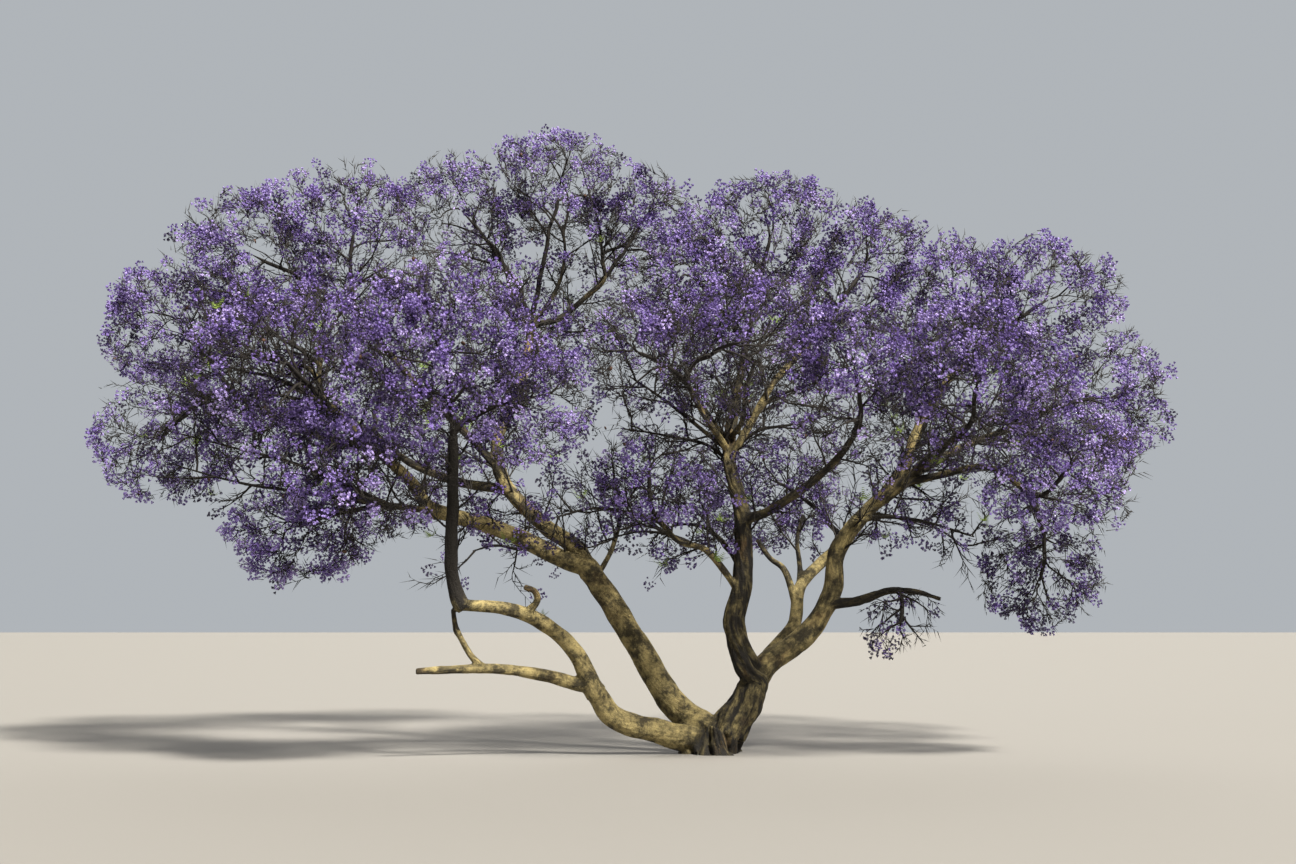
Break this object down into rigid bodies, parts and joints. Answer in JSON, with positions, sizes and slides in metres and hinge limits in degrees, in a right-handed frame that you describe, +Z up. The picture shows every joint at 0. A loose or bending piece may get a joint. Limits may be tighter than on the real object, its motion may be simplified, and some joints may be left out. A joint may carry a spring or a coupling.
{
  "type": "jacaranda tree",
  "caption": "Spreading flowering tree: leaning stems from one flared foot, forking into arching limbs under a wide, billowing violet crown.",
  "frame": {"origin": "on the flat cut under the trunk, at ground level", "axes": "+Z up; +X along the crown's longest spread, to the right as the tree is mostly seen; +Y away from the viewer"},
  "size_m": [13.9161, 9.1589, 8.6982],
  "materials": {
    "bark": "rough, shallowly fissured grey-tan bark",
    "blossom": "soft matt violet petals"
  },
  "bodies": {
    "root": {"trunk": "bark", "low_left_stem": "bark", "low_left_rise": "bark", "left_shoot": "bark", "low_left_runner": "bark", "runner_riser": "bark", "left_stem": "bark", "left_arch": "bark", "left_front_limb": "bark", "left_low_limb": "bark", "left_far_limb": "bark", "left_crown_limb": "bark", "rear_right_limb": "bark", "left_back_limb": "bark", "left_top_limb": "bark", "centre_stem": "bark", "centre_left_limb": "bark", "centre_right_limb": "bark", "centre_arm": "bark", "cross_limb": "bark", "right_stem": "bark", "right_high_limb": "bark", "right_arch_limb": "bark", "right_side_limb": "bark", "right_top_limb": "bark", "right_inner_limb": "bark", "right_low_limb": "bark", "left_tip_low": "blossom", "left_tip_high": "blossom", "left_shoulder": "blossom", "left_top": "blossom", "left_front": "blossom", "left_billow": "blossom", "left_low_front": "blossom", "left_skirt": "blossom", "left_inner": "blossom", "left_far_back": "blossom", "left_back": "blossom", "rear_top_left": "blossom", "rear_top": "blossom", "rear_right": "blossom", "rear_back": "blossom", "centre_top": "blossom", "centre_shoulder": "blossom", "centre_right_top": "blossom", "centre_front_left": "blossom", "centre_front": "blossom", "centre_front_right": "blossom", "centre_back": "blossom", "centre_low_left": "blossom", "centre_low_back": "blossom", "right_top_left": "blossom", "right_top": "blossom", "right_edge": "blossom", "right_front": "blossom", "right_front_low": "blossom", "right_skirt": "blossom", "right_hanging": "blossom", "right_back": "blossom", "right_far_back": "blossom"}
  },
  "joints": []
}
